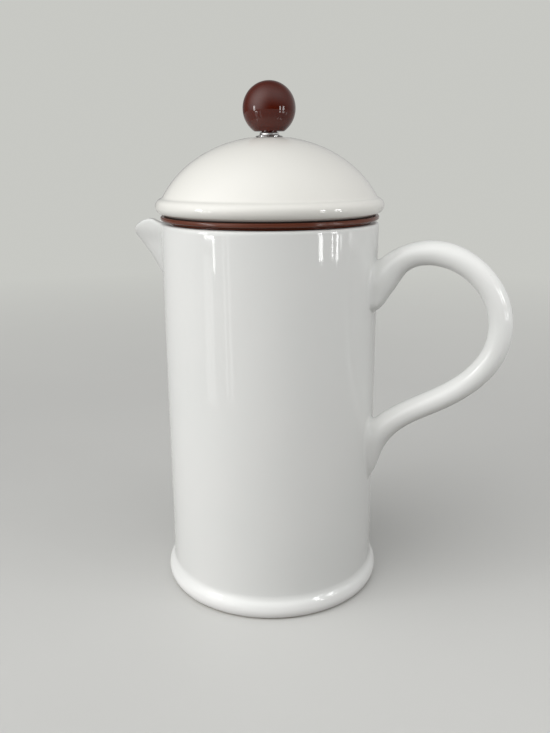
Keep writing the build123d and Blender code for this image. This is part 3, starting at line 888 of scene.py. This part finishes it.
def make_dome():
    """The glazed dome: an oval cap with a flat crown that runs through a valley into the rolled bead."""
    turns = np.radians(np.linspace(0, 90, OVAL_SAMPLES))
    hollow = dome_oval(turns, 0.0, DOME_VALLEY)
    gap = np.hypot(hollow[:, 0] - DOME_BEAD[0], hollow[:, 1] - DOME_BEAD[1])
    past = np.argmin(gap)
    touch = past + np.argmin(abs(gap[past:] - DOME_BEAD_R - DOME_VALLEY))
    valley_centre = tuple(hollow[touch])
    slope = hollow[touch] - dome_oval(turns[touch:touch + 1])[0]
    from_cap = math.degrees(math.atan2(-slope[1], -slope[0]))
    to_bead = math.degrees(math.atan2(valley_centre[1] - DOME_BEAD[1], valley_centre[0] - DOME_BEAD[0]))
    crown_turn = math.asin((CROWN_Z - DOME_CENTRE_Z) / DOME_HALF_HEIGHT)
    cap = dome_oval(np.linspace(crown_turn, turns[touch], 40))[:-1]
    inner_wide = DOME_HALF_WIDTH - DOME_WALL
    inner_low = math.acos(DOME_RIM_INNER_R / inner_wide)
    inner_high = math.asin((DOME_UNDER_Z - DOME_CENTRE_Z) / (DOME_HALF_HEIGHT - DOME_WALL))
    under = dome_oval(np.linspace(inner_low, inner_high, 26), DOME_WALL)
    corners = [
        (DOME_HOLE_R, DOME_UNDER_Z, 0.0004),
        (DOME_HOLE_R, CROWN_Z, 0.0004),
        (DOME_FLAT_R, CROWN_Z, 0),
        (*cap[0], DOME_SHOULDER),
        *[(*point, 0) for point in cap[1:]],
        *arc(valley_centre, DOME_VALLEY, 360 + from_cap, 180 + to_bead, 6),
        *arc(DOME_BEAD, DOME_BEAD_R, to_bead, DOME_BEAD_END, 18),
        (DOME_RIM_R, DOME_BASE_Z, 0.0010),
        (DOME_RIM_INNER_R, DOME_BASE_Z, 0.0008),
        (*under[0], 0.0012),
        *[(*point, 0) for point in under[1:-1]],
        (*under[-1], 0.0010),
    ]
    return turned("lid_dome_glazed", corners[::-1], 256)


def make_insert():
    """The moulded insert; its outline follows the frame's, with the mould's soft edges."""
    groove_low_z, groove_high_z = SEAL_GROOVE_HEIGHTS
    return turned("insert_moulded", [
        (TOWER_BORE_R, DOME_UNDER_Z, 0.0),
        (TOWER_BORE_R, TOWER_SOCKET_Z, 0.0),
        (TOWER_SOCKET_R, TOWER_SOCKET_Z, 0.0010),
        (TOWER_ROOT_R, PLATE_UNDER_Z, 0.0010),
        (SKIRT_INNER_R, PLATE_UNDER_Z, 0.0020),
        (SKIRT_INNER_R, SKIRT_END_Z, 0.0012),
        (SKIRT_R, SKIRT_END_Z, 0.0012),
        (SKIRT_R, groove_low_z, 0.0002),
        (SEAL_GROOVE_R, groove_low_z, 0.0002),
        (SEAL_GROOVE_R, groove_high_z, 0.0002),
        (SKIRT_R, groove_high_z, 0.0002),
        (SKIRT_R, RIM_Z, 0.0003),
        (FLANGE_STEP_LOW_R, RIM_Z, 0.0002),
        (FLANGE_STEP_TOP_R, FLANGE_UNDER_Z, 0.0003),
        (FLANGE_R, FLANGE_UNDER_Z, 0.0007),
        (FLANGE_R, FLANGE_TOP_Z, 0.0006),
        (RIDGE_R, FLANGE_TOP_Z, 0.0003),
        (RIDGE_R, RIDGE_TOP_Z, 0.0006),
        (RIDGE_INNER_R, RIDGE_TOP_Z, 0.0006),
        (RIDGE_INNER_R, FLANGE_TOP_Z, 0.0006),
        (TOWER_FOOT_R, FLANGE_TOP_Z, 0.0020),
        (TOWER_TOP_R, DOME_UNDER_Z, 0.0012),
    ], 224, steps=4)


def make_cushion():
    """The soft ring between flange and dome, squeezed out a little at its edges."""
    middle_z = (FLANGE_TOP_Z + DOME_BASE_Z) / 2
    return turned("dome_cushion_ring", [
        (CUSHION_INNER_R, FLANGE_TOP_Z, 0.0001),
        (CUSHION_R, FLANGE_TOP_Z, 0.0001),
        (CUSHION_MIDDLE_R, middle_z, 0.0002),
        (CUSHION_R, DOME_BASE_Z, 0.0001),
        (CUSHION_INNER_R, DOME_BASE_Z, 0.0001),
    ], 160, steps=3)


def make_collar():
    """The polished collar: a thin disc on its soft washer, a boss above it, and the shank with its bore."""
    head_z = CROWN_Z + COLLAR_WASHER_T
    return turned("collar_polished", [
        (GUIDE_BORE_R, SHANK_END_Z, 0.0001),
        (SHANK_R, SHANK_END_Z, 0.0005),
        (SHANK_R, head_z, 0),
        (COLLAR_R, head_z, 0.0001),
        (COLLAR_R, head_z + COLLAR_EDGE, 0.0001),
        (COLLAR_NECK_R, head_z + COLLAR_BEVEL, 0.0002),
        (COLLAR_TOP_R, COLLAR_TOP_Z, 0.0002),
        (COLLAR_MOUTH_R, COLLAR_TOP_Z, 0.0001),
        (COLLAR_MOUTH_R, COLLAR_TOP_Z - COLLAR_MOUTH_DEPTH, 0),
        (GUIDE_BORE_R, COLLAR_TOP_Z - COLLAR_MOUTH_DEPTH, 0),
    ], 128, steps=4)


def make_knob():
    """The ball, flat underneath, with its neck and the blind hole that its insert fills."""
    ball_z = KNOB_TOP_Z - BALL_R
    hole_z = BALL_FLAT_Z + KNOB_HOLE_DEPTH
    low = -math.degrees(math.asin((ball_z - BALL_FLAT_Z) / BALL_R))
    corners = [
        (0, hole_z, 0),
        (ROD_R, hole_z, 0),
        (ROD_R, COLLAR_TOP_Z, 0),
        (NECK_R, COLLAR_TOP_Z, 0.0001),
        (NECK_R, BALL_FLAT_Z, 0.0002),
        (BALL_R * math.cos(math.radians(low)), BALL_FLAT_Z, 0.0005),
        *arc((0, ball_z), BALL_R, low, 90, 44)[1:-1],
        (0, KNOB_TOP_Z, 0),
    ]
    return turned("knob_ball_polished", corners, 176, closed=False)


# ================================ the whole ================================


dress(make_pot(), "pot_body", "white_glaze", POT_GLAZE, "pot", "spout", "handle")
dress(make_dome(), "lid", "white_glaze", LID_GLAZE_PAINTED_LIGHTER, "lid_dome")
dress(make_insert(), "lid", "brown_plastic", PLASTIC, "lid_insert")
dress(make_cushion(), "lid", "dark_silicone", SILICONE, "dome_cushion")
dress(make_collar(), "lid", "polished_metal", CHROME, "guide_collar")
dress(make_knob(), "plunger", "brown_knob", KNOB, "knob_ball")

KEPT_NODES = {
    "seal_ring": SILICONE,
    "collar_washer": SILICONE,
    "nut_washer": STEEL_TURNED,
    "collar_nut": STEEL_TURNED,
    "guide_liner": NYLON,
    "knob_insert": BRASS,
    "plunger_rod": STEEL_DRAWN,
    "froth_disc": PLASTIC,
    "disc_top_nut": STEEL_TURNED,
    "disc_top_washer": STEEL_TURNED,
    "disc_bottom_washer": STEEL_TURNED,
    "disc_cap_nut": STEEL_TURNED,
}
for node, finish in KEPT_NODES.items():
    coat(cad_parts[node], finish)


# ================================ room, light and camera ================================


VIEW_BEARING = -90.0 + math.degrees(CAMERA_BEARING)
ROOM_TINT = (1.0, 1.0, 0.99)
ROOM_LIGHT = [  # degrees left of the camera, degrees above the horizon, tightness, strength
    (0, 90, 6, 0.26),
    (0, 48, 6, 0.55),
    (60, 8, 5, 1.70),
    (60, 48, 6, 1.62),
    (-60, 48, 6, 0.77),
    (-100, 8, 5, 0.36),
    (-150, 8, 5, 0.48),
    (150, 8, 5, 0.22),
]

SOFTBOXES = [
    # name, degrees left of the camera, distance, bottom, top, width, radiance
    ("left_window", 59.2, 0.330, 0.149, 0.168, 0.060, 8.0),
    ("left_window_edge", 54.4, 0.330, 0.122, 0.168, 0.015, 6.0),
    ("left_window_top", 66.3, 0.330, 0.190, 0.274, 0.046, 10.5),
    ("left_glow", 62.0, 0.335, 0.010, 0.135, 0.060, 0.8),
    ("left_slit", 44.0, 0.327, 0.020, 0.165, 0.008, 1.5),
    ("left_slit_wide", 39.0, 0.326, 0.020, 0.175, 0.014, 1.2),
    ("right_window", -48.4, 0.325, 0.132, 0.165, 0.023, 10.0),
    ("right_window_top", -47.5, 0.325, 0.190, 0.264, 0.026, 11.0),
    ("right_pane_near", -60.7, 0.321, 0.135, 0.165, 0.008, 10.0),
    ("right_pane_bar", -63.5, 0.321, 0.162, 0.165, 0.030, 10.0),
    ("right_pane_far", -66.3, 0.320, 0.132, 0.165, 0.014, 10.0),
    ("right_pane_top", -63.0, 0.320, 0.190, 0.264, 0.038, 9.0),
    ("right_slit", -70.9, 0.318, 0.142, 0.167, 0.012, 4.0),
    ("right_slit_dim", -83.2, 0.313, 0.120, 0.168, 0.018, 2.0),
]


def direction(left, high=0.0):
    """Unit vector towards a place some degrees left of the camera and above the horizon."""
    bearing = math.radians(VIEW_BEARING - left)
    high = math.radians(high)
    return (math.cos(bearing) * math.cos(high), math.sin(bearing) * math.cos(high), math.sin(high))


def make_floor():
    """A plain pale floor that bounces less light than it shows, and far from the pot fades into the
    backdrop's tone."""
    radii = np.array(FLOOR_RADII)
    points = np.column_stack([radii, np.zeros_like(radii)])
    vertices, faces, _ = skin(turned_rings(points, FLOOR_COLUMNS))
    floor = new_piece("floor", vertices, faces)
    finish = Finish("floor_pale", Roughness=FLOOR_ROUGHNESS)
    tree = finish.tree
    tone = finish.mix(finish.cloud(6.0, 3.0), *FLOOR_TONES)
    path = finish.node("ShaderNodeLightPath")
    finish.set(Base_Color=finish.mix(path.outputs["Is Diffuse Ray"], tone, FLOOR_BOUNCE))
    distance = finish.node("ShaderNodeVectorMath", operation="LENGTH")
    tree.links.new(finish.place, distance.inputs[0])
    fade = finish.ramp(distance.outputs["Value"], *FLOOR_FADE)
    factor = finish.math("MULTIPLY", fade, path.outputs["Is Camera Ray"])
    plain = finish.node("ShaderNodeEmission", Color=(*BACKDROP, 1.0), Strength=1.0)
    shown = (1, finish.shader.outputs[0])
    faded = (2, plain.outputs[0])
    blend = finish.node("ShaderNodeMixShader", (0, factor), shown, faded)
    tree.links.new(blend.outputs[0], tree.nodes["Material Output"].inputs["Surface"])
    floor.data.materials.append(finish.material)


def make_world():
    """A pale room: the backdrop's tone to the camera, and soft light from a few sides to the rest."""
    world = bpy.data.worlds.new("room")
    world.use_nodes = True
    bpy.context.scene.world = world
    tree = world.node_tree
    towards = tree.nodes.new("ShaderNodeTexCoord").outputs["Generated"]
    level = None
    for left, high, tightness, strength in ROOM_LIGHT:
        facing = tree.nodes.new("ShaderNodeVectorMath")
        facing.operation = "DOT_PRODUCT"
        facing.inputs[1].default_value = direction(left, high)
        tree.links.new(towards, facing.inputs[0])
        level = room_share(tree, facing.outputs["Value"], tightness, strength, level)
    room = tree.nodes["Background"]
    room.inputs["Color"].default_value = (*ROOM_TINT, 1.0)
    tree.links.new(level, room.inputs["Strength"])
    plain = tree.nodes.new("ShaderNodeBackground")
    plain.inputs["Color"].default_value = (*BACKDROP, 1.0)
    mix = tree.nodes.new("ShaderNodeMixShader")
    tree.links.new(tree.nodes.new("ShaderNodeLightPath").outputs["Is Camera Ray"], mix.inputs[0])
    tree.links.new(room.outputs[0], mix.inputs[1])
    tree.links.new(plain.outputs[0], mix.inputs[2])
    tree.links.new(mix.outputs[0], tree.nodes["World Output"].inputs["Surface"])


def room_share(tree, facing, tightness, strength, so_far):
    """Adds one side's light: strength times the facing cosine to the power of tightness."""
    value = facing
    for operation, number in (("MAXIMUM", 0.0), ("POWER", tightness), ("MULTIPLY", strength)):
        step = tree.nodes.new("ShaderNodeMath")
        step.operation = operation
        tree.links.new(value, step.inputs[0])
        step.inputs[1].default_value = number
        value = step.outputs[0]
    if so_far is None:
        return value
    total = tree.nodes.new("ShaderNodeMath")
    tree.links.new(so_far, total.inputs[0])
    tree.links.new(value, total.inputs[1])
    return total.outputs[0]


def make_lights():
    """Upright softboxes round the pot, each as bright as its radiance whatever its size."""
    for name, left, distance, bottom, top, width, radiance in SOFTBOXES:
        lamp = bpy.data.lights.new(name, "AREA")
        lamp.shape = "RECTANGLE"
        lamp.size = width
        lamp.size_y = top - bottom
        lamp.energy = radiance * math.pi * width * (top - bottom)
        box = bpy.data.objects.new(name, lamp)
        aim = Vector(direction(left))
        box.location = aim * distance + Vector((0, 0, (bottom + top) / 2))
        box.rotation_euler = (-aim).to_track_quat("-Z", "Y").to_euler()
        box.visible_camera = False
        bpy.context.scene.collection.objects.link(box)


def make_camera():
    """The photograph's camera: its place, its aim and its slight roll."""
    ahead = Vector((
        math.sin(CAMERA_YAW) * math.cos(CAMERA_PITCH),
        math.cos(CAMERA_YAW) * math.cos(CAMERA_PITCH),
        -math.sin(CAMERA_PITCH),
    ))
    level = Vector((math.cos(CAMERA_YAW), -math.sin(CAMERA_YAW), 0))
    up = level.cross(ahead)
    right = math.cos(CAMERA_ROLL) * level + math.sin(CAMERA_ROLL) * up
    up = math.cos(CAMERA_ROLL) * up - math.sin(CAMERA_ROLL) * level
    turn = Matrix.Rotation(CAMERA_BEARING, 3, "Z")
    axes = Matrix((turn @ right, turn @ up, -(turn @ ahead))).transposed()
    data = bpy.data.cameras.new("camera")
    data.sensor_width = SENSOR
    data.sensor_fit = "AUTO"
    data.lens = SENSOR * FOCAL_PIXELS / PHOTO_LONG_SIDE
    camera = bpy.data.objects.new("camera", data)
    place = turn @ Vector((0, -CAMERA_DISTANCE, CAMERA_HEIGHT))
    camera.matrix_world = Matrix.Translation(place) @ axes.to_4x4()
    bpy.context.scene.collection.objects.link(camera)
    bpy.context.scene.camera = camera


make_floor()
make_world()
make_lights()
make_camera()
bpy.context.scene.view_settings.view_transform = "Standard"
